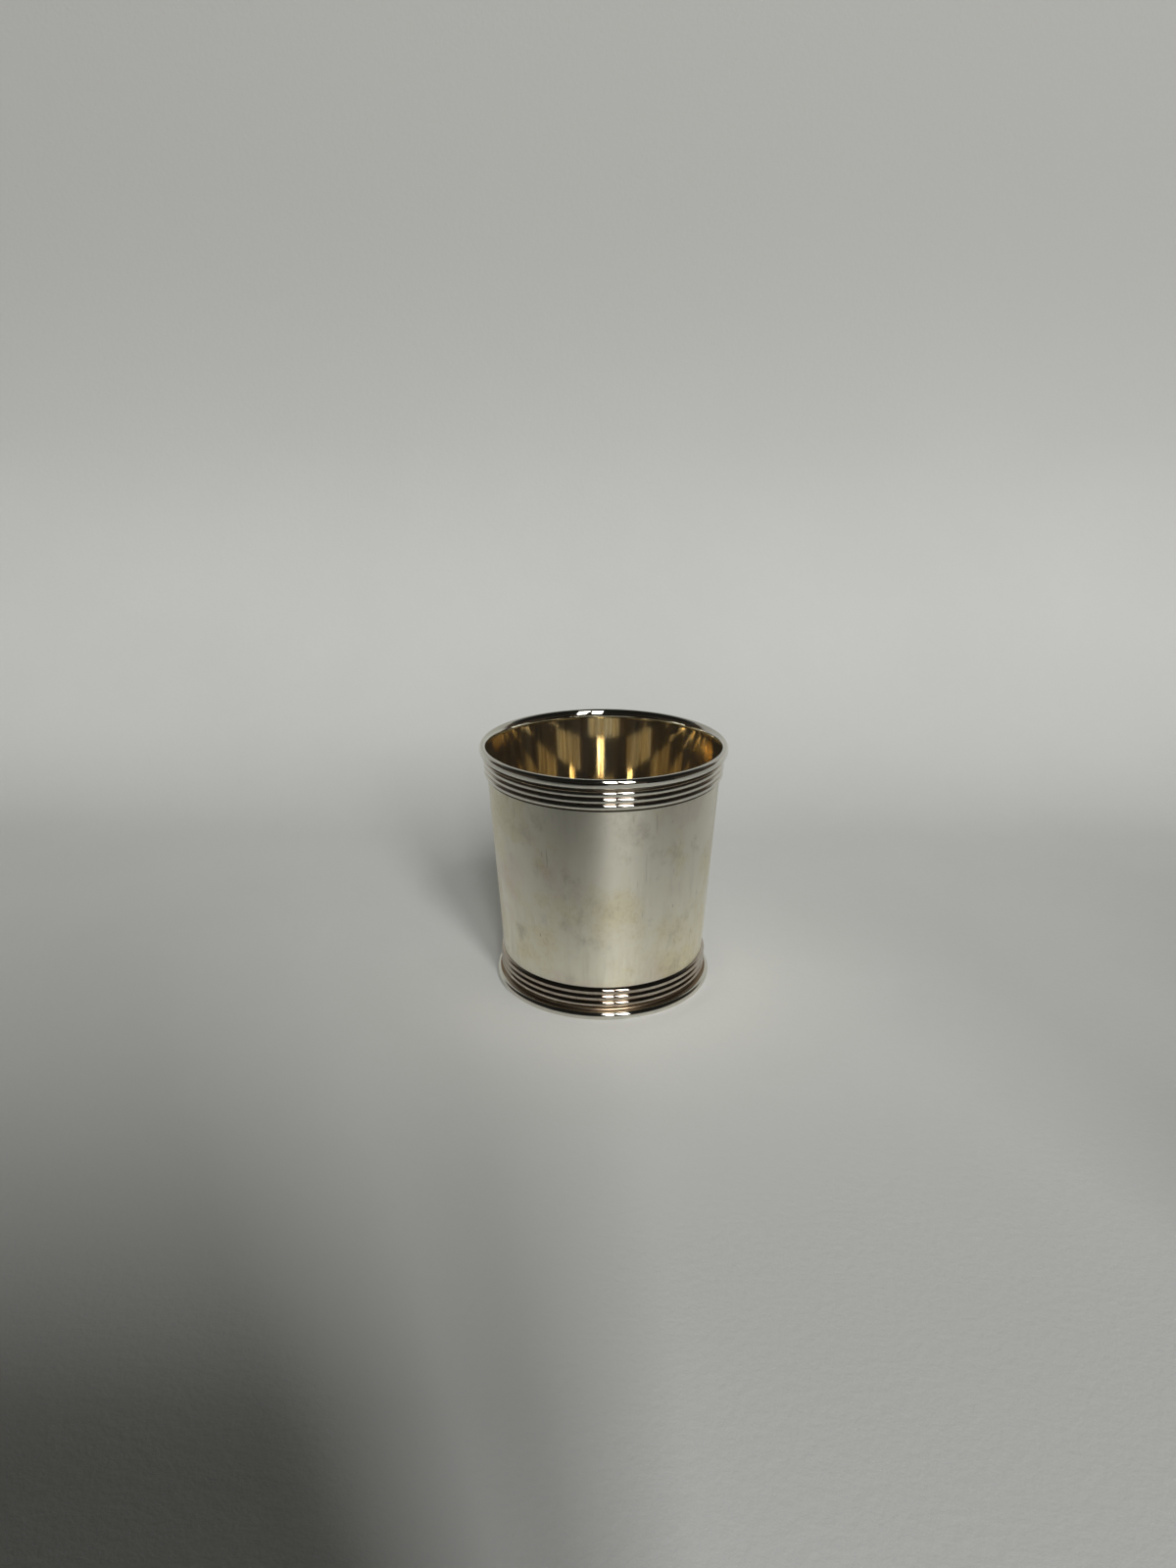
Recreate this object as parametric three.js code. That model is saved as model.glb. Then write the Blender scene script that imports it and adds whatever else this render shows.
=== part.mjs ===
// Small silver beaker: a tapering sheet wall with a let-in bottom, a rounded lip wire, a band of
// reeds under the lip, a second band of reeds at the base, and a spreading foot ring.
// Millimetres, +Z up. The origin is the centre of the foot, on the surface that the cup stands on.
// Every piece is turned about +Z from a closed outline of (radius, height) points.

import * as THREE from 'three';

// Overall sizes
const CUP_HEIGHT = 81; // standing surface to the crest of the lip
const MOUTH_DIAMETER = 80; // across the lip
const FOOT_DIAMETER = 72.2; // across the foot flange

// Sheet wall and bottom
const WALL_THICKNESS = 0.6;
const BOTTOM_THICKNESS = 0.8;
const BOTTOM_RISE = 4; // standing surface to the underside of the bottom
const SOLDER_GAP = 0.1; // play between two pieces that solder joins

// Lip wire, seated on the upper edge of the wall
const LIP_HEIGHT = 2.9; // flat underside to crest
const LIP_OVERHANG = 2; // from the outer face of the wall to the outermost point
const LIP_BELLY_HEIGHT = 1.4; // underside to the outermost point
const LIP_CREST_INSET = 1.1; // outermost point to the crest
const LIP_UNDER_INSET = 0.9; // outermost point to the edge of the flat underside

// Reeded wire, drawn in two widths
const REED_COUNT = 3;
const REED_RISE = 0.6; // how far a reed stands out from its grooves

// Rim band
const RIM_REED_HEIGHT = 2;
const NECK_HEIGHT = 1.05; // bare wall between the lip and the band
const RIM_BAND_WEB = 0.3; // metal behind the grooves

// Foot band
const FOOT_REED_HEIGHT = 2.2;
const FOOT_BAND_WEB = 0.3; // metal behind the highest groove
const FOOT_BAND_ROOT = 0.6; // metal behind the lowest groove
const SHOULDER_HEIGHT = 0.2; // slope from the highest reed up to the wall
const SHOULDER_EDGE = 0.05; // flat left at the top of that slope

// Foot ring
const FOOT_RING_HEIGHT = 3.3;
const FOOT_OVERHANG = 3.05; // from the wall's lower edge to the outermost point of the flange
const FLANGE_HEIGHT = 2.3; // standing surface to the crease where the cove meets the flange
const FLANGE_BELLY_HEIGHT = 0.8; // standing surface to the outermost point
const FLANGE_UNDER_INSET = 0.35; // outermost point to the edge of the flat underside
const FLANGE_CREASE_INSET = 1.1; // outermost point to the crease
const COLLAR_HEIGHT = 0.4; // upright band between the cove and the reeds
const COLLAR_WEB = 0.85; // metal behind that band
const COVE_HOLLOW = 0.12; // how far the cove dips below its chord
const SHELF_HEIGHT = 1.2; // standing surface to the shelf that carries the wall

// Facets
const TURN_FACETS = 72;
const CURVE_FACETS = 5; // on each quarter of the lip and of the flange
const REED_FACETS = 6;
const COVE_FACETS = 4;

// Heights where pieces meet
const lipSeat = CUP_HEIGHT - LIP_HEIGHT;
const rimBandTop = lipSeat - NECK_HEIGHT;
const rimBandBottom = rimBandTop - REED_COUNT * RIM_REED_HEIGHT;
const coveTop = FOOT_RING_HEIGHT - COLLAR_HEIGHT;
const footReedsTop = FOOT_RING_HEIGHT + REED_COUNT * FOOT_REED_HEIGHT;
const footBandTop = footReedsTop + SHOULDER_HEIGHT;

// The wall is a plain cone between its two edges
const mouthRadius = MOUTH_DIAMETER / 2;
const footRadius = FOOT_DIAMETER / 2;
const wallTopRadius = mouthRadius - LIP_OVERHANG;
const wallBaseRadius = footRadius - FOOT_OVERHANG;
const wallSlope = (wallTopRadius - wallBaseRadius) / (lipSeat - SHELF_HEIGHT);

const wallOuter = (height) => wallBaseRadius + wallSlope * (height - SHELF_HEIGHT);
const wallInner = (height) => wallOuter(height) - WALL_THICKNESS;
const boreAround = (height) => wallOuter(height) + SOLDER_GAP;

const point = (radius, height) => new THREE.Vector2(radius, height);

// Points after `from` on the round arc that ends at `to` and stands `rise` proud of the chord
// between them, on the right-hand side of the way from one to the other.
function bulge(from, to, rise, facets) {
  const along = to.clone().sub(from);
  const halfChord = along.length() / 2;
  along.normalize();
  const out = point(along.y, -along.x);
  const middle = from.clone().add(to).multiplyScalar(0.5);
  const radius = (halfChord ** 2 + rise ** 2) / (2 * rise);
  const halfAngle = 2 * Math.atan(rise / halfChord);
  const points = [];
  for (let i = 1; i < facets; i++) {
    const angle = halfAngle * (2 * i / facets - 1);
    const onArc = middle.clone();
    onArc.addScaledVector(along, radius * Math.sin(angle));
    onArc.addScaledVector(out, radius * (Math.cos(angle) - 1) + rise);
    points.push(onArc);
  }
  return [...points, to];
}

// Points after `from` on a quarter of an ellipse that leaves `from` level and reaches `to` upright.
function levelToUpright(from, to) {
  const points = [];
  for (let i = 1; i < CURVE_FACETS; i++) {
    const angle = (Math.PI / 2) * (i / CURVE_FACETS);
    const radius = from.x + (to.x - from.x) * Math.sin(angle);
    const height = to.y + (from.y - to.y) * Math.cos(angle);
    points.push(point(radius, height));
  }
  return [...points, to];
}

// The same quarter travelled the other way: it leaves `from` upright and reaches `to` level.
function uprightToLevel(from, to) {
  const back = levelToUpright(to, from);
  return [...back.slice(0, -1).reverse(), to];
}

// A closed outline: it ends on the point where it started.
const closed = (outline) => [...outline, outline[0].clone()];

function turned(name, outline, material) {
  const geometry = new THREE.LatheGeometry(outline, TURN_FACETS);
  geometry.rotateX(Math.PI / 2);
  const mesh = new THREE.Mesh(geometry, material);
  mesh.name = name;
  return mesh;
}

const satinSilver = new THREE.MeshStandardMaterial({ color: 0xbdb9ac, roughness: 0.38, metalness: 1 });
const polishedSilver = new THREE.MeshStandardMaterial({ color: 0xdad8d2, roughness: 0.1, metalness: 1 });
const giltSilver = new THREE.MeshStandardMaterial({ color: 0xc9a35c, roughness: 0.16, metalness: 1 });

// Tapering tube of sheet, from the shelf in the foot ring to the underside of the lip.
function wall() {
  const outline = [
    point(wallInner(SHELF_HEIGHT), SHELF_HEIGHT),
    point(wallOuter(SHELF_HEIGHT), SHELF_HEIGHT),
    point(wallOuter(lipSeat), lipSeat),
    point(wallInner(lipSeat), lipSeat),
  ];
  return turned('wall', closed(outline), satinSilver);
}

// Flat disc let into the wall from above. Its edge is bevelled to the wall's taper.
function bottom() {
  const top = BOTTOM_RISE + BOTTOM_THICKNESS;
  const outline = [
    point(0, BOTTOM_RISE),
    point(wallInner(BOTTOM_RISE) - SOLDER_GAP, BOTTOM_RISE),
    point(wallInner(top) - SOLDER_GAP, top),
    point(0, top),
  ];
  return turned('bottom', outline, giltSilver);
}

// Oval wire with a flat underside. Its inner face rolls out of the wall's inner face.
function lipWire() {
  const innerEdge = point(wallInner(lipSeat), lipSeat);
  const underEdge = point(mouthRadius - LIP_UNDER_INSET, lipSeat);
  const belly = point(mouthRadius, lipSeat + LIP_BELLY_HEIGHT);
  const crest = point(mouthRadius - LIP_CREST_INSET, CUP_HEIGHT);
  const outline = [
    innerEdge,
    underEdge,
    ...levelToUpright(underEdge, belly),
    ...uprightToLevel(belly, crest),
    ...levelToUpright(crest, innerEdge),
  ];
  return turned('lip_wire', outline, polishedSilver);
}

// A column of reeds, upward from `low` to `high`, which both lie in grooves.
function reeds(low, high) {
  const points = [low];
  let groove = low;
  for (let i = 1; i <= REED_COUNT; i++) {
    const nextGroove = low.clone().lerp(high, i / REED_COUNT);
    points.push(...bulge(groove, nextGroove, REED_RISE, REED_FACETS));
    groove = nextGroove;
  }
  return points;
}

// Three reeds round the wall, a neck below the lip, with a sharp step back to the wall below.
function rimBand() {
  const low = point(boreAround(rimBandBottom) + RIM_BAND_WEB, rimBandBottom);
  const high = point(boreAround(rimBandTop) + RIM_BAND_WEB, rimBandTop);
  const outline = [
    point(boreAround(rimBandBottom), rimBandBottom),
    ...reeds(low, high),
    point(boreAround(rimBandTop), rimBandTop),
  ];
  return turned('rim_reed_band', closed(outline), polishedSilver);
}

// Three wider reeds standing on the foot ring, with a sloping shoulder up to the wall.
function footBand() {
  const low = point(boreAround(FOOT_RING_HEIGHT) + FOOT_BAND_ROOT, FOOT_RING_HEIGHT);
  const high = point(boreAround(footReedsTop) + FOOT_BAND_WEB, footReedsTop);
  const outline = [
    point(boreAround(FOOT_RING_HEIGHT), FOOT_RING_HEIGHT),
    ...reeds(low, high),
    point(boreAround(footBandTop) + SHOULDER_EDGE, footBandTop),
    point(boreAround(footBandTop), footBandTop),
  ];
  return turned('foot_reed_band', closed(outline), polishedSilver);
}

// Rounded flange, cove and collar. A shelf inside carries the wall, and the underside is flat.
function footRing() {
  const underEdge = point(footRadius - FLANGE_UNDER_INSET, 0);
  const belly = point(footRadius, FLANGE_BELLY_HEIGHT);
  const crease = point(footRadius - FLANGE_CREASE_INSET, FLANGE_HEIGHT);
  const collarLow = point(boreAround(coveTop) + COLLAR_WEB, coveTop);
  const collarHigh = point(boreAround(FOOT_RING_HEIGHT) + COLLAR_WEB, FOOT_RING_HEIGHT);
  const outline = [
    point(wallInner(SHELF_HEIGHT), 0),
    underEdge,
    ...levelToUpright(underEdge, belly),
    ...uprightToLevel(belly, crease),
    ...bulge(crease, collarLow, -COVE_HOLLOW, COVE_FACETS),
    collarHigh,
    point(boreAround(FOOT_RING_HEIGHT), FOOT_RING_HEIGHT),
    point(boreAround(SHELF_HEIGHT), SHELF_HEIGHT),
    point(wallInner(SHELF_HEIGHT), SHELF_HEIGHT),
  ];
  return turned('foot_ring', closed(outline), polishedSilver);
}

const cup = new THREE.Group();
cup.add(wall(), bottom(), lipWire(), rimBand(), footBand(), footRing());

export default cup;
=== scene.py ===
# Small silver beaker with a gilt inside, on a pale paper sweep in window light.
# Metres, +Z up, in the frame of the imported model.
import math

import bpy
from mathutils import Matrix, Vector


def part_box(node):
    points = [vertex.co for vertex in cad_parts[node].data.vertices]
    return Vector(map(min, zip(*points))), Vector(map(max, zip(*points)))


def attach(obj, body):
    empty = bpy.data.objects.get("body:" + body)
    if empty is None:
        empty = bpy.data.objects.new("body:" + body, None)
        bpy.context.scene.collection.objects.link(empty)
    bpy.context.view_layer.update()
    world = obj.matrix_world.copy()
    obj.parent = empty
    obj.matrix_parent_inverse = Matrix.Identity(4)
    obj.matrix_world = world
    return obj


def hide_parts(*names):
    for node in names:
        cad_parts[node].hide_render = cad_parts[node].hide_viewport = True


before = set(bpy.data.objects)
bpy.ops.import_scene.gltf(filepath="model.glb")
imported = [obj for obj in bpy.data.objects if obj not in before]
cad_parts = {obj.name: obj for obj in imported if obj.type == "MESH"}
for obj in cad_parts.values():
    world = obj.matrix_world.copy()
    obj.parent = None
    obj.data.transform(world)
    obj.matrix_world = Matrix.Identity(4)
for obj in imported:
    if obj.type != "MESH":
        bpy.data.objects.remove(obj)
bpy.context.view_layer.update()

MM = 0.001

# Sizes that the frame gives
LIP_LOW, LIP_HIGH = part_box("lip_wire")
RIM_BAND_LOW, RIM_BAND_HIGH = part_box("rim_reed_band")
FOOT_BAND_LOW, FOOT_BAND_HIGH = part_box("foot_reed_band")
_, FOOT_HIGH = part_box("foot_ring")
WALL_LOW, WALL_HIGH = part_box("wall")
BOTTOM_LOW, BOTTOM_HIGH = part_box("bottom")

# Sizes inside those boxes. They follow the solids, with the solder gaps closed.
WALL_THICKNESS = 0.6 * MM
FOOT_OVERHANG = 3.05 * MM  # from the wall's lower edge to the outermost point of the flange
LIP_BELLY_HEIGHT = 1.4 * MM  # underside to the outermost point
LIP_CREST_INSET = 1.1 * MM  # outermost point to the crest
LIP_UNDER_INSET = 0.9 * MM  # outermost point to the edge of the flat underside
REED_COUNT = 3
REED_RISE = 0.6 * MM  # how far a reed stands out from its grooves
BAND_WEB = 0.4 * MM  # metal behind the grooves
FOOT_BAND_ROOT = 0.7 * MM  # metal behind the foot band's lowest groove
SHOULDER_HEIGHT = 0.2 * MM  # slope from the highest foot reed up to the wall
SHOULDER_EDGE = 0.12 * MM  # flat at the top of that slope
FLANGE_HEIGHT = 2.3 * MM  # standing surface to the crease where the cove meets the flange
FLANGE_BELLY_HEIGHT = 0.8 * MM  # standing surface to the outermost point
FLANGE_UNDER_INSET = 0.35 * MM  # outermost point to the edge of the flat underside
FLANGE_CREASE_INSET = 1.1 * MM  # outermost point to the crease
COLLAR_HEIGHT = 0.4 * MM  # upright band between the cove and the reeds
COLLAR_WEB = 0.95 * MM  # metal behind that band
COVE_HOLLOW = 0.12 * MM  # how far the cove dips below its chord

# Dark seams on the wall beside the bands, painted shade under the bands' edges with some grime:
# full dark, then a fade
RIM_SEAM = 0.6 * MM
FOOT_SEAM = 0.1 * MM
SEAM_FADE = 0.14 * MM

# Depth tells the materials how sheltered a spot is: 0 on a rubbed crest, 1 deep in a groove. On
# the wall it sets painted shade with some grime at the seams and the neck
DEPTH = "depth"
CREST = 0
GROOVE = 1
# The neck is darkened as painted shade under the lip, with some tarnish
NECK_DEPTH = 0.7  # bare wall between the rim band and the lip
LIP_INNER_DEPTH = 0.1
LIP_UNDER_DEPTH = 0.15
RIM_GROOVE_DEPTH = 0.65
FOOT_CREST_DEPTH = 0.45  # the foot reeds keep a film all over
FOOT_TOP_GROOVE_DEPTH = 0.5
SHOULDER_DEPTH = 0.3
CREASE_DEPTH = 0.8
COVE_DEPTH = 0.84
SHELF_DEPTH = 0.5
UNDERSIDE_DEPTH = 0.3

# Fineness of the turned meshes
TURN_STEPS = 288
QUARTER_STEPS = 16
REED_STEPS = 20
STRAIGHT_STEPS = 16
SHARP_ANGLE = math.radians(30)

# The wall is a plain cone between its two edges
MOUTH_RADIUS = LIP_HIGH.x
FOOT_RADIUS = FOOT_HIGH.x
WALL_TOP_RADIUS = WALL_HIGH.x
WALL_BASE_RADIUS = FOOT_RADIUS - FOOT_OVERHANG
WALL_SLOPE = (WALL_TOP_RADIUS - WALL_BASE_RADIUS) / (WALL_HIGH.z - WALL_LOW.z)


def wall_outer(height):
    return WALL_BASE_RADIUS + WALL_SLOPE * (height - WALL_LOW.z)


def wall_inner(height):
    return wall_outer(height) - WALL_THICKNESS


# Outlines: lists of (radius, height, depth)
def straight(start, end, steps=STRAIGHT_STEPS):
    """Points after start on the straight line to end."""
    return [
        tuple(a + (b - a) * i / steps for a, b in zip(start, end))
        for i in range(1, steps + 1)
    ]


def bulge(start, end, rise, steps, crest_depth):
    """Points after start on a round arc that stands rise proud of its chord, on its right."""
    across = Vector((end[0] - start[0], end[1] - start[1]))
    half = across.length / 2
    across.normalize()
    out = Vector((across.y, -across.x))
    middle = Vector(((start[0] + end[0]) / 2, (start[1] + end[1]) / 2))
    radius = (half**2 + rise**2) / (2 * rise)
    half_angle = 2 * math.atan(rise / half)
    points = []
    for i in range(1, steps):
        angle = half_angle * (2 * i / steps - 1)
        height = radius * (math.cos(angle) - 1) + rise
        spot = middle + across * (radius * math.sin(angle)) + out * height
        edge = start[2] if angle < 0 else end[2]
        points.append((spot.x, spot.y, edge + (crest_depth - edge) * height / rise))
    return points + [end]


def level_to_upright(start, end, steps=QUARTER_STEPS):
    """Points after start on a quarter ellipse that leaves start level and reaches end upright."""
    points = []
    for i in range(1, steps):
        angle = math.pi / 2 * i / steps
        points.append((
            start[0] + (end[0] - start[0]) * math.sin(angle),
            end[1] + (start[1] - end[1]) * math.cos(angle),
            start[2] + (end[2] - start[2]) * math.sin(angle),
        ))
    return points + [end]


def upright_to_level(start, end):
    """The same quarter travelled the other way."""
    return level_to_upright(end, start)[-2::-1] + [end]


def reeds(low, high, crest_depth):
    """A column of reeds, upward from low to high, which both lie in grooves."""
    points = [low]
    for groove in straight(low, high, REED_COUNT):
        points += bulge(points[-1], groove, REED_RISE, REED_STEPS, crest_depth)
    return points


def wall_outline():
    """Dark seams, painted shade with some grime, run where the wall's outer face meets the two
    bands.
    """
    bottom, top = WALL_LOW.z, WALL_HIGH.z
    rim_seam_low = RIM_BAND_LOW.z - RIM_SEAM
    foot_seam_high = FOOT_BAND_HIGH.z + FOOT_SEAM

    def outer(height, depth=CREST):
        return (wall_outer(height), height, depth)

    inner_high = (wall_inner(top), top, CREST)
    inner_low = (wall_inner(bottom), bottom, CREST)
    clean_low = outer(foot_seam_high + SEAM_FADE)
    clean_high = outer(rim_seam_low - SEAM_FADE)
    return (
        [inner_low, outer(bottom, GROOVE), outer(foot_seam_high, GROOVE), clean_low]
        + straight(clean_low, clean_high)
        + [outer(rim_seam_low, GROOVE), outer(RIM_BAND_LOW.z, GROOVE)]
        + [outer(RIM_BAND_HIGH.z, NECK_DEPTH), outer(top, NECK_DEPTH), inner_high]
        + straight(inner_high, inner_low)[:-1]
    )


def bottom_outline():
    low, high = BOTTOM_LOW.z, BOTTOM_HIGH.z
    return [
        (0, low, CREST),
        (wall_inner(low), low, CREST),
        (wall_inner(high), high, CREST),
        (0, high, CREST),
    ]


def lip_outline():
    low, high = LIP_LOW.z, LIP_HIGH.z
    inner_edge = (wall_inner(low), low, LIP_INNER_DEPTH)
    under_edge = (MOUTH_RADIUS - LIP_UNDER_INSET, low, LIP_UNDER_DEPTH)
    belly = (MOUTH_RADIUS, low + LIP_BELLY_HEIGHT, CREST)
    crest = (MOUTH_RADIUS - LIP_CREST_INSET, high, CREST)
    return (
        [inner_edge, (wall_outer(low), low, GROOVE), under_edge]
        + level_to_upright(under_edge, belly)
        + upright_to_level(belly, crest)
        + level_to_upright(crest, inner_edge)[:-1]
    )


def rim_band_outline():
    low, high = RIM_BAND_LOW.z, RIM_BAND_HIGH.z
    first = (wall_outer(low) + BAND_WEB, low, RIM_GROOVE_DEPTH)
    last = (wall_outer(high) + BAND_WEB, high, RIM_GROOVE_DEPTH)
    return (
        [(wall_outer(low), low, GROOVE)]
        + reeds(first, last, CREST)
        + [(wall_outer(high), high, GROOVE)]
    )


def foot_band_outline():
    low, high = FOOT_BAND_LOW.z, FOOT_BAND_HIGH.z
    reeds_top = high - SHOULDER_HEIGHT
    first = (wall_outer(low) + FOOT_BAND_ROOT, low, GROOVE)
    last = (wall_outer(reeds_top) + BAND_WEB, reeds_top, FOOT_TOP_GROOVE_DEPTH)
    return (
        [(wall_outer(low), low, GROOVE)]
        + reeds(first, last, FOOT_CREST_DEPTH)
        + [(wall_outer(high) + SHOULDER_EDGE, high, SHOULDER_DEPTH)]
        + [(wall_outer(high), high, GROOVE)]
    )


def foot_ring_outline():
    """The crease is bright on the flange's side and dark on the cove's side."""
    high, shelf = FOOT_HIGH.z, WALL_LOW.z
    inner = wall_inner(shelf)
    under_edge = (FOOT_RADIUS - FLANGE_UNDER_INSET, 0, CREST)
    belly = (FOOT_RADIUS, FLANGE_BELLY_HEIGHT, CREST)
    crease = (FOOT_RADIUS - FLANGE_CREASE_INSET, FLANGE_HEIGHT, CREST)
    cove_low = (crease[0], crease[1], CREASE_DEPTH)
    cove_top = high - COLLAR_HEIGHT
    collar_low = (wall_outer(cove_top) + COLLAR_WEB, cove_top, COVE_DEPTH)
    return (
        [(inner, 0, UNDERSIDE_DEPTH), under_edge]
        + level_to_upright(under_edge, belly)
        + upright_to_level(belly, crease)
        + bulge(cove_low, collar_low, -COVE_HOLLOW, QUARTER_STEPS, COVE_DEPTH)
        + [
            (wall_outer(high) + COLLAR_WEB, high, GROOVE),
            (wall_outer(high), high, GROOVE),
            (wall_outer(shelf), shelf, GROOVE),
            (inner, shelf, SHELF_DEPTH),
        ]
    )


def put(name, data):
    """A new object in the scene."""
    thing = bpy.data.objects.new(name, data)
    bpy.context.scene.collection.objects.link(thing)
    return thing


def turned(name, outline, materials, choose=None):
    """A closed mesh turned about +Z. choose(centre, normal) picks a face's material."""
    vertices, depths, rings = [], [], []
    for radius, height, depth in outline:
        if radius == 0:
            rings.append([len(vertices)] * TURN_STEPS)
            vertices.append((0, 0, height))
            depths.append(depth)
            continue
        rings.append(range(len(vertices), len(vertices) + TURN_STEPS))
        for step in range(TURN_STEPS):
            angle = 2 * math.pi * step / TURN_STEPS
            vertices.append((radius * math.cos(angle), radius * math.sin(angle), height))
            depths.append(depth)
    on_axis = outline[0][0] == 0
    pairs = list(zip(rings, rings[1:])) + ([] if on_axis else [(rings[-1], rings[0])])
    faces = []
    for lower, upper in pairs:
        for step in range(TURN_STEPS):
            after = (step + 1) % TURN_STEPS
            corners = [lower[step], lower[after], upper[after], upper[step]]
            faces.append(list(dict.fromkeys(corners)))
    mesh = bpy.data.meshes.new(name)
    mesh.from_pydata(vertices, [], faces)
    depth_values = mesh.attributes.new(DEPTH, "FLOAT", "POINT")
    depth_values.data.foreach_set("value", depths)
    for material in materials:
        mesh.materials.append(material)
    if choose:
        for face in mesh.polygons:
            face.material_index = choose(face.center, face.normal)
    mesh.shade_smooth()
    mesh.set_sharp_from_angle(angle=SHARP_ANGLE)
    return put(name, mesh)


# Node materials
def new_material(name):
    material = bpy.data.materials.new(name)
    material.use_nodes = True
    tree = material.node_tree
    return material, tree, tree.nodes["Principled BSDF"]


def feed(tree, socket, value):
    """Link a socket to a socket, or set a plain value on it."""
    if isinstance(value, bpy.types.NodeSocket):
        tree.links.new(value, socket)
    else:
        socket.default_value = value


def add(tree, kind, settings=None, inputs=None):
    node = tree.nodes.new(kind)
    for name, value in (settings or {}).items():
        setattr(node, name, value)
    for name, value in (inputs or {}).items():
        feed(tree, node.inputs[name], value)
    return node


def place_of(tree):
    return add(tree, "ShaderNodeTexCoord").outputs["Object"]


def axes(tree, vector):
    """The X, Y and Z of a vector."""
    return add(tree, "ShaderNodeSeparateXYZ", None, {"Vector": vector}).outputs


def depth_of(tree):
    return add(tree, "ShaderNodeAttribute", {"attribute_name": DEPTH}).outputs["Fac"]


def noise(tree, fineness, detail, roughness, turn=(0, 0, 0), shift=(0, 0, 0)):
    """Noise with about fineness spots to the metre along each axis."""
    mapping = {"Vector": place_of(tree), "Location": shift, "Rotation": turn, "Scale": fineness}
    place = add(tree, "ShaderNodeMapping", None, mapping).outputs[0]
    inputs = {"Vector": place, "Scale": 1.0, "Detail": detail, "Roughness": roughness}
    return add(tree, "ShaderNodeTexNoise", None, inputs).outputs[0]


def spread(tree, value, low, high, start=0.0, end=1.0):
    """A smooth step from start, where value is low, to end, where it is high."""
    return add(
        tree,
        "ShaderNodeMapRange",
        {"interpolation_type": "SMOOTHSTEP"},
        {"Value": value, "From Min": low, "From Max": high, "To Min": start, "To Max": end},
    ).outputs[0]


def maths(tree, operation, a, b):
    node = add(tree, "ShaderNodeMath", {"operation": operation})
    feed(tree, node.inputs[0], a)
    feed(tree, node.inputs[1], b)
    return node.outputs[0]


def times(tree, a, b):
    return maths(tree, "MULTIPLY", a, b)


def mixed(tree, factor, a, b, blend="MIX"):
    node = add(tree, "ShaderNodeMix", {"data_type": "RGBA", "blend_type": blend})
    feed(tree, node.inputs[0], factor)
    feed(tree, node.inputs[6], a)
    feed(tree, node.inputs[7], b)
    return node.outputs[2]


def bump(tree, height, strength, distance, normal=None):
    inputs = {"Height": height, "Strength": strength, "Distance": distance}
    if normal is not None:
        inputs["Normal"] = normal
    return add(tree, "ShaderNodeBump", None, inputs).outputs[0]


# Colours of metal seen at a grazing angle: clean metal turns white, and grooves stay dark. At the
# wall's seams that dark is painted shade with some grime
CLEAN_EDGE = (1, 1, 1, 1)
SEAM_SHADED_EDGE = (0.1, 0.08, 0.06, 1)
GRIME_EDGE = (0.15, 0.11, 0.07, 1)

# Satin silver beside the two bands, painted lighter at the foot and darker at the rim as painted
# light and shade, and the tints that darken it
SATIN_LIT_AT_FOOT = (0.95, 0.915, 0.77, 1)
SATIN_SHADED_AT_RIM = (0.75, 0.725, 0.615, 1)
YELLOW_TINT = (0.945, 0.90, 0.77, 1)
MAUVE_TINT = (0.91, 0.85, 0.87, 1)
GREY_TINT = (0.74, 0.735, 0.72, 1)
STREAK_TINT = (0.68, 0.66, 0.64, 1)
SPECK_TINT = (0.80, 0.75, 0.66, 1)
SCRATCH_TINT = (0.62, 0.60, 0.57, 1)
TICK_TINT = (0.40, 0.36, 0.33, 1)
SEAM_GRIME_AND_SHADE_TINT = (0.04, 0.03, 0.02, 1)


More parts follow.
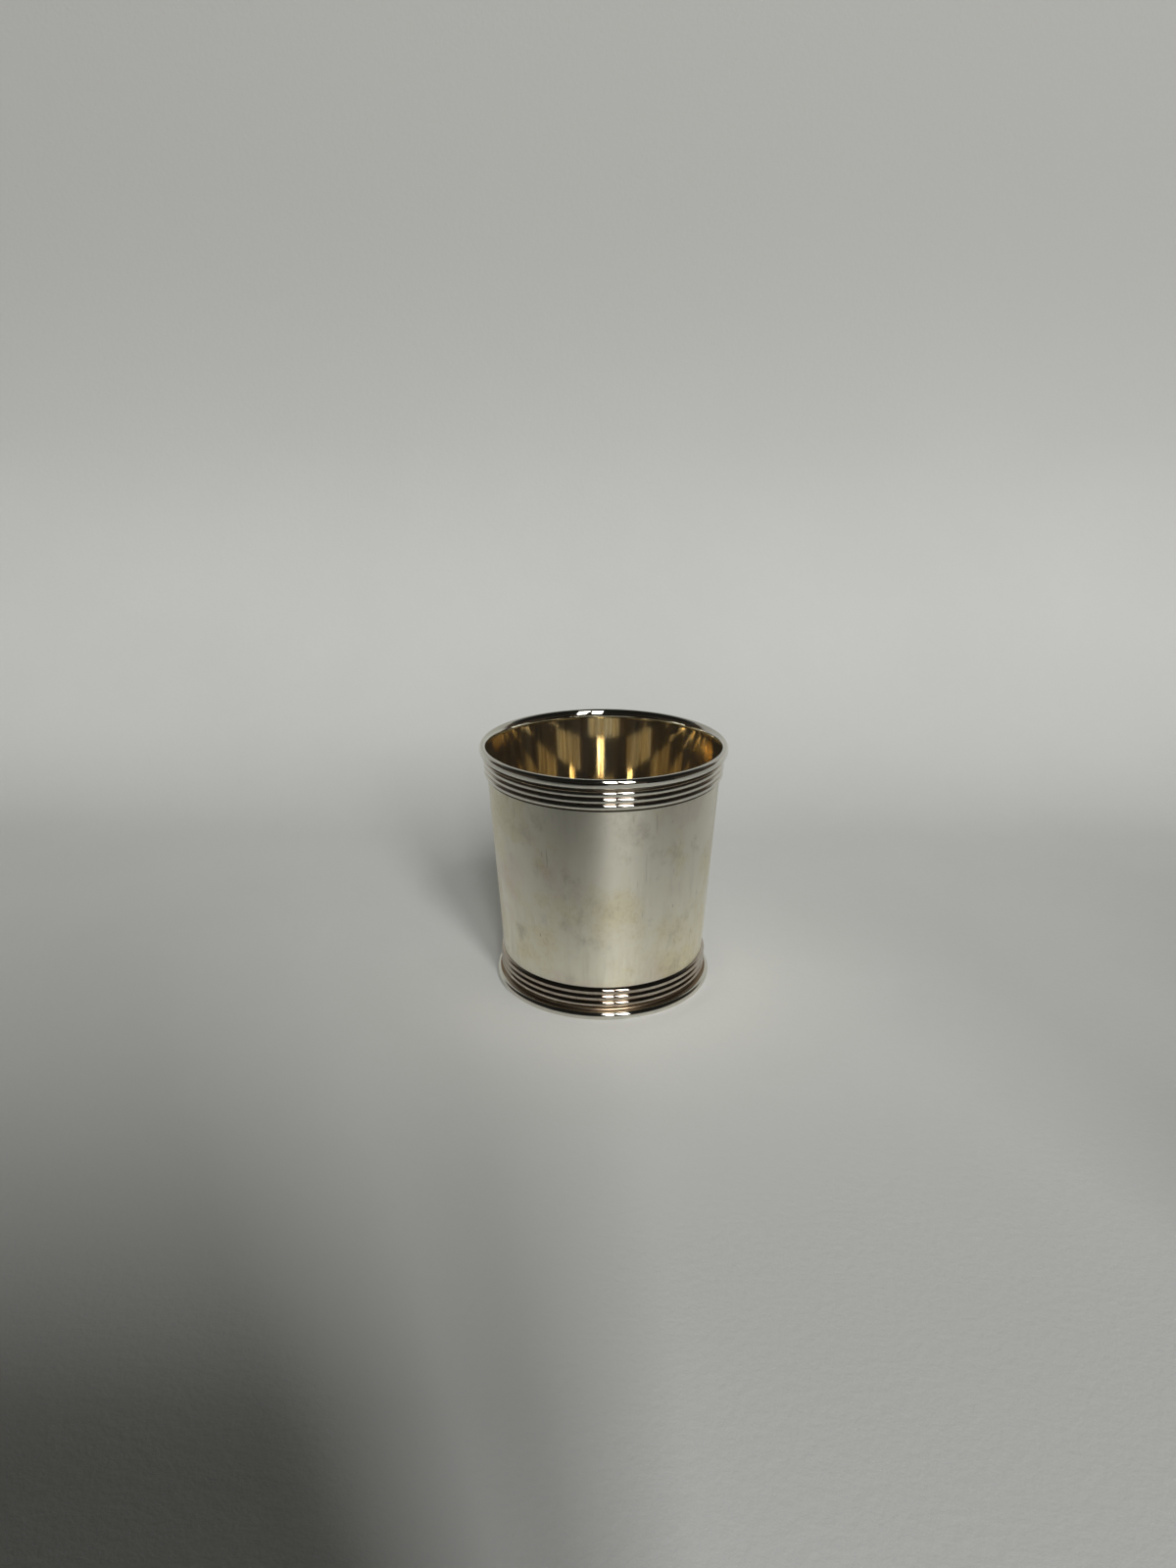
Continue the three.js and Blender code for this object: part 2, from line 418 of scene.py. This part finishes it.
def satin_silver():
    """Satin from polishing round the cup: it spreads what it reflects up and down."""
    material, tree, shader = new_material("satin_silver")
    shader.inputs["Metallic"].default_value = 1.0
    shader.inputs["Anisotropic"].default_value = 0.75
    shader.inputs["Anisotropic Rotation"].default_value = 0.25
    around = add(tree, "ShaderNodeTangent", {"direction_type": "RADIAL", "axis": "Z"}).outputs[0]
    feed(tree, shader.inputs["Tangent"], around)

    yellow = spread(tree, noise(tree, (50, 50, 42), 5, 0.62), 0.46, 0.64)
    mauve = spread(tree, noise(tree, (40, 40, 34), 4, 0.6, shift=(3, 1, 7)), 0.5, 0.66)
    grey = spread(tree, noise(tree, (95, 95, 70), 7, 0.68, shift=(1, 5, 2)), 0.52, 0.72)
    rubbed = spread(tree, noise(tree, (40, 40, 30), 2, 0.5, shift=(5, 0, 3)), 0.4, 0.7)
    streaks = noise(tree, (500, 500, 60), 3, 0.6)
    rings = noise(tree, (12, 12, 2600), 2, 0.5)
    scratches = noise(tree, (1500, 1500, 55), 1, 0.4, turn=(0.35, 0.2, 0))
    scratches = spread(tree, scratches, 0.72, 0.80)
    ticks = spread(tree, noise(tree, (700, 700, 210), 2, 0.5, shift=(2, 2, 9)), 0.74, 0.80)
    specks = spread(tree, noise(tree, (900, 900, 650), 4, 0.65, shift=(8, 4, 6)), 0.45, 0.7)
    specks = times(tree, specks, maths(tree, "MAXIMUM", yellow, grey))
    # Painted shade with some grime: darkens the wall at the seams beside the bands and at the
    # neck under the lip
    seam_grime_and_shade = spread(tree, depth_of(tree), 0.3, 0.9, 0.0, 0.97)

    height = axes(tree, place_of(tree))["Z"]
    # Painted light and shade: the satin grows darker from the foot band up to the rim band
    upward = spread(tree, height, FOOT_BAND_HIGH.z, RIM_BAND_LOW.z)
    colour = mixed(tree, upward, SATIN_LIT_AT_FOOT, SATIN_SHADED_AT_RIM)
    for amount, tint in (
        (times(tree, yellow, 0.8), YELLOW_TINT),
        (times(tree, mauve, 0.7), MAUVE_TINT),
        (times(tree, grey, 0.7), GREY_TINT),
        (times(tree, spread(tree, streaks, 0.4, 0.8, 0.0, 0.4), rubbed), STREAK_TINT),
        (times(tree, specks, 0.5), SPECK_TINT),
        (times(tree, scratches, 0.5), SCRATCH_TINT),
        (times(tree, ticks, 0.7), TICK_TINT),
        (seam_grime_and_shade, SEAM_GRIME_AND_SHADE_TINT),
    ):
        colour = mixed(tree, amount, colour, tint, "MULTIPLY")
    feed(tree, shader.inputs["Base Color"], colour)
    # Painted shade on the seams' grazing reflections as well
    edge = mixed(tree, seam_grime_and_shade, CLEAN_EDGE, SEAM_SHADED_EDGE)
    feed(tree, shader.inputs["Specular Tint"], edge)

    rough = spread(tree, streaks, 0.25, 0.75, 0.31, 0.35)
    rough = maths(tree, "ADD", rough, times(tree, grey, 0.05))
    feed(tree, shader.inputs["Roughness"], rough)

    waves = noise(tree, (45, 45, 45), 2, 0.5, shift=(9, 2, 4))
    normal = bump(tree, waves, 0.3, 0.4 * MM)
    normal = bump(tree, rings, 0.06, 0.03 * MM, normal)
    normal = bump(tree, streaks, 0.05, 0.03 * MM, normal)
    normal = bump(tree, scratches, 0.15, 0.03 * MM, normal)
    feed(tree, shader.inputs["Normal"], normal)
    return material


# Polished silver, bright and yellowed, under a brown film with grime in the grooves
BRIGHT_SILVER = (0.69, 0.675, 0.605, 1)
YELLOWED_SILVER = (0.64, 0.595, 0.485, 1)
FILM = (0.40, 0.32, 0.25, 1)
GRIME = (0.24, 0.17, 0.10, 1)


def polished_silver():
    """Mirror bright on the crests. Film and then grime cover it towards the grooves."""
    material, tree, shader = new_material("polished_silver")
    shader.inputs["Metallic"].default_value = 1.0
    depth = depth_of(tree)
    cloud = noise(tree, (90, 90, 160), 4, 0.6)
    film = spread(tree, cloud, 0.3, 0.6, 0.6, 0.95)
    film = times(tree, spread(tree, depth, 0.02, 0.6), film)
    grime = spread(tree, cloud, 0.2, 0.6, 0.6, 1.0)
    grime = times(tree, spread(tree, depth, 0.5, 1.0), grime)
    yellow = spread(tree, cloud, 0.45, 0.75, 0.0, 0.4)
    colour = mixed(tree, yellow, BRIGHT_SILVER, YELLOWED_SILVER)
    colour = mixed(tree, film, colour, FILM)
    colour = mixed(tree, grime, colour, GRIME)
    feed(tree, shader.inputs["Base Color"], colour)
    edge = mixed(tree, grime, CLEAN_EDGE, GRIME_EDGE)
    feed(tree, shader.inputs["Specular Tint"], edge)

    rings = noise(tree, (14, 14, 3500), 2, 0.5)
    rough = spread(tree, rings, 0.3, 0.7, 0.03, 0.07)
    rough = maths(tree, "ADD", rough, spread(tree, depth, 0.7, 0.95, 0.0, 0.42))
    feed(tree, shader.inputs["Roughness"], rough)

    waves = noise(tree, (160, 160, 160), 2, 0.5, shift=(4, 4, 1))
    normal = bump(tree, waves, 0.25, 0.1 * MM)
    normal = bump(tree, rings, 0.1, 0.02 * MM, normal)
    feed(tree, shader.inputs["Normal"], normal)
    return material


# Gilding on the wall, and the deeper gold that is left near the bottom
GILDING = (0.90, 0.835, 0.69, 1)
DULL_GILDING = (0.67, 0.585, 0.435, 1)
PALE_STREAK_GILDING = (0.86, 0.85, 0.80, 1)
STREAKED_GILDING = (0.79, 0.70, 0.505, 1)
DEEP_GILDING = (0.92, 0.72, 0.40, 1)
DEEP_GILDING_TOP = 3 * BOTTOM_HIGH.z


def gilt_silver():
    """Polished gilding with upright dull and pale streaks, deeper and softer near the bottom."""
    material, tree, shader = new_material("gilt_silver")
    shader.inputs["Metallic"].default_value = 0.985
    shader.inputs["Specular IOR Level"].default_value = 0.2
    streaks = noise(tree, (300, 300, 8), 4, 0.65)
    dull = noise(tree, (165, 165, 5), 5, 0.65, shift=(2, 8, 1))
    pale_streaks = noise(tree, (95, 95, 4), 5, 0.62, shift=(7, 3, 5))
    height = axes(tree, place_of(tree))["Z"]
    low = spread(tree, height, BOTTOM_HIGH.z, DEEP_GILDING_TOP, 1.0, 0.0)
    colour = mixed(tree, spread(tree, dull, 0.46, 0.56, 0.0, 0.8), GILDING, DULL_GILDING)
    colour = mixed(tree, spread(tree, pale_streaks, 0.55, 0.61, 0.0, 0.85), colour, PALE_STREAK_GILDING)
    colour = mixed(tree, spread(tree, streaks, 0.45, 0.75, 0.0, 0.5), colour, STREAKED_GILDING)
    colour = mixed(tree, times(tree, low, 0.85), colour, DEEP_GILDING)
    feed(tree, shader.inputs["Base Color"], colour)

    rough = spread(tree, streaks, 0.3, 0.7, 0.025, 0.055)
    rough = maths(tree, "ADD", rough, times(tree, low, 0.2))
    feed(tree, shader.inputs["Roughness"], rough)

    waves = noise(tree, (120, 120, 18), 2, 0.5, shift=(6, 1, 3))
    normal = bump(tree, waves, 0.15, 0.08 * MM)
    normal = bump(tree, streaks, 0.2, 0.04 * MM, normal)
    feed(tree, shader.inputs["Normal"], normal)
    return material


# Choosers: each returns the place of a face's material in its piece's list
def inner_face(centre, normal):
    return 1 if normal.x * centre.x + normal.y * centre.y < 0 else 0


def lower_face(centre, normal):
    return 1 if normal.z < 0 else 0


SATIN = satin_silver()
POLISHED = polished_silver()
GILT = gilt_silver()
PIECES = [
    ("wall_sheet", "wall", "satin_silver", wall_outline(), [SATIN, GILT], inner_face),
    ("bottom_disc", "bottom", "gilt_silver", bottom_outline(), [GILT, SATIN], lower_face),
    ("lip_ring", "lip_wire", "polished_silver", lip_outline(), [POLISHED], None),
    ("rim_reeds", "rim_reed_band", "polished_silver", rim_band_outline(), [POLISHED], None),
    ("foot_reeds", "foot_reed_band", "polished_silver", foot_band_outline(), [POLISHED], None),
    ("foot_flange", "foot_ring", "polished_silver", foot_ring_outline(), [POLISHED], None),
]
for name, node, slot, outline, materials, choose in PIECES:
    piece = turned(name, outline, materials, choose)
    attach(piece, "root")
    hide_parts(node)

# Paper sweep: a floor that curves up to a wall behind the cup
SWEEP_HALF_WIDTH = 4.0
SWEEP_FRONT = -1.3
CURVE_START = 0.12
CURVE_RADIUS = 0.17
SWEEP_HEIGHT = 0.46
CURVE_STEPS = 32

# The paper is pale near the cup, painted darker up the wall and in front as painted shade, and
# fades to a dark table
PALE_PAPER = (0.765, 0.77, 0.74, 1)
PALER_PAPER = (0.79, 0.795, 0.77, 1)
SHADED_PAPER = (0.64, 0.645, 0.62, 1)
TABLE = (0.09, 0.068, 0.05, 1)
WALL_SHADE_SPAN = (0.05, 0.3)  # in Z
FRONT_SHADE_SPAN = (-0.05, -0.17)  # in Y
PAPER_HALF_WIDTH = 0.37
PAPER_FRONT = -0.25  # in Y
PAPER_FADE = 0.3
PAPER_BACK_EXTRA = 0.3  # how much further it runs aside on the floor behind the cup
BACK_START = (-0.15, 0.1)  # in Y, where that extra width comes in
BACK_TOP = 0.1  # in Z, where it has gone again


def paper():
    material, tree, shader = new_material("paper")
    mottle = noise(tree, (9, 9, 9), 4, 0.55)
    fibre = noise(tree, (420, 420, 420), 5, 0.65)
    where = axes(tree, place_of(tree))
    # Painted shade: the paper darkens up the wall and towards the front
    dull = maths(
        tree,
        "MAXIMUM",
        spread(tree, where["Z"], *WALL_SHADE_SPAN),
        spread(tree, where["Y"], *FRONT_SHADE_SPAN, 0.0, 0.65),
    )
    extra = times(
        tree,
        spread(tree, where["Y"], *BACK_START, 0.0, PAPER_BACK_EXTRA),
        spread(tree, where["Z"], 0.0, BACK_TOP, 1.0, 0.0),
    )
    aside = maths(tree, "ABSOLUTE", where["X"], 0.0)
    aside = maths(tree, "SUBTRACT", aside, extra)
    beyond = maths(
        tree,
        "MAXIMUM",
        spread(tree, aside, PAPER_HALF_WIDTH, PAPER_HALF_WIDTH + PAPER_FADE),
        spread(tree, where["Y"], PAPER_FRONT, PAPER_FRONT - PAPER_FADE),
    )
    colour = mixed(tree, spread(tree, mottle, 0.3, 0.7), PALE_PAPER, PALER_PAPER)
    colour = mixed(tree, dull, colour, SHADED_PAPER)
    colour = mixed(tree, beyond, colour, TABLE)
    feed(tree, shader.inputs["Base Color"], colour)
    shader.inputs["Roughness"].default_value = 0.85
    shader.inputs["Specular IOR Level"].default_value = 0.2
    feed(tree, shader.inputs["Normal"], bump(tree, fibre, 0.4, 0.4 * MM))
    return material


def sweep():
    outline = [(SWEEP_FRONT, 0.0)]
    for i in range(CURVE_STEPS + 1):
        angle = math.pi / 2 * i / CURVE_STEPS
        outline.append((
            CURVE_START + CURVE_RADIUS * math.sin(angle),
            CURVE_RADIUS * (1 - math.cos(angle)),
        ))
    outline.append((CURVE_START + CURVE_RADIUS, SWEEP_HEIGHT))
    sides = (-SWEEP_HALF_WIDTH, SWEEP_HALF_WIDTH)
    vertices = [(side, y, z) for y, z in outline for side in sides]
    faces = [(2 * i, 2 * i + 1, 2 * i + 3, 2 * i + 2) for i in range(len(outline) - 1)]
    mesh = bpy.data.meshes.new("paper_sweep")
    mesh.from_pydata(vertices, [], faces)
    mesh.materials.append(paper())
    mesh.shade_smooth()
    stage = put("paper_sweep", mesh)


sweep()

# Two dark cards in front, which keep part of the window off the paper at the left and right
CARD_PLACE = -0.305  # in Y
CARD_HEIGHT = 0.19
CARD_SPANS = {"flag_left": (-0.5, 0.018), "flag_right": (0.22, 0.6)}  # in X
CARD_BLACK = (0.03, 0.028, 0.026, 1)
CARD_GREY = (0.05, 0.045, 0.04, 1)


def black_card():
    material, tree, shader = new_material("black_card")
    mottle = noise(tree, (30, 30, 30), 3, 0.5)
    feed(tree, shader.inputs["Base Color"], mixed(tree, mottle, CARD_BLACK, CARD_GREY))
    shader.inputs["Roughness"].default_value = 0.9
    return material


def flag(name, left, right, material):
    corners = [(left, 0), (right, 0), (right, CARD_HEIGHT), (left, CARD_HEIGHT)]
    mesh = bpy.data.meshes.new(name)
    mesh.from_pydata([(x, CARD_PLACE, z) for x, z in corners], [], [(0, 1, 2, 3)])
    mesh.materials.append(material)
    card = put(name, mesh)
    card.visible_camera = False


CARD = black_card()
for name, (left, right) in CARD_SPANS.items():
    flag(name, left, right, CARD)

# Window of two tall panes in front, above and a little to the right. Angles are from the cup.
WINDOW_DISTANCE = 3.0
WINDOW_ELEVATION = math.radians(36)
PANE_AZIMUTHS = {"pane_left": math.radians(7.0), "pane_right": math.radians(23.4)}
PANE_SPAN = math.radians(11.2)
PANE_RISE = math.radians(34)
PANE_RADIANCE = 11.5


def pane(name, azimuth):
    toward = Vector((
        math.sin(azimuth) * math.cos(WINDOW_ELEVATION),
        -math.cos(azimuth) * math.cos(WINDOW_ELEVATION),
        math.sin(WINDOW_ELEVATION),
    ))
    light = bpy.data.lights.new(name, "AREA")
    light.shape = "RECTANGLE"
    light.size = WINDOW_DISTANCE * math.cos(WINDOW_ELEVATION) * PANE_SPAN
    light.size_y = 2 * WINDOW_DISTANCE * math.tan(PANE_RISE / 2)
    light.energy = PANE_RADIANCE * math.pi * light.size * light.size_y
    lamp = put(name, light)
    lamp.location = toward * WINDOW_DISTANCE
    lamp.rotation_euler = (-toward).to_track_quat("-Z", "Y").to_euler()


for name, azimuth in PANE_AZIMUTHS.items():
    pane(name, azimuth)

# Dim room: brown below, nearly black above, and grey behind the cup
ROOM_LOW = (0.056, 0.043, 0.031, 1)
ROOM_HIGH = (0.012, 0.012, 0.011, 1)
ROOM_BACK = (0.16, 0.165, 0.16, 1)

world = bpy.data.worlds.new("room")
bpy.context.scene.world = world
world.use_nodes = True
sky = world.node_tree
toward = axes(sky, add(sky, "ShaderNodeTexCoord").outputs["Generated"])
room = mixed(sky, spread(sky, toward["Z"], 0.0, 0.5), ROOM_LOW, ROOM_HIGH)
room = mixed(sky, spread(sky, toward["Y"], 0.1, 0.6), room, ROOM_BACK)
feed(sky, sky.nodes["Background"].inputs["Color"], room)

# Camera, from the photograph's framing
PHOTO_HEIGHT = 1600
FOCAL_PIXELS = 1110
AXIS_PIXELS = 15.7  # from the middle of the photograph to the cup's axis, at its right
SENSOR_WIDTH = 36  # along the photograph's longer side
CAMERA_BACK = 0.3352
CAMERA_UP = 0.1822
CAMERA_PITCH = math.radians(19.09)
CAMERA_YAW = math.atan(AXIS_PIXELS / FOCAL_PIXELS / math.cos(CAMERA_PITCH))
NEAREST = 0.01

lens = bpy.data.cameras.new("camera")
lens.sensor_width = SENSOR_WIDTH
lens.lens = SENSOR_WIDTH * FOCAL_PIXELS / PHOTO_HEIGHT
lens.clip_start = NEAREST
camera = put("camera", lens)
camera.location = (0, -CAMERA_BACK, CAMERA_UP)
camera.rotation_euler = (math.pi / 2 - CAMERA_PITCH, 0, CAMERA_YAW)
bpy.context.scene.camera = camera

bpy.context.scene.view_settings.view_transform = "Standard"

# The inside of the cup mirrors itself many times over
bpy.context.scene.cycles.glossy_bounces = 12
bpy.context.scene.cycles.blur_glossy = 0.1
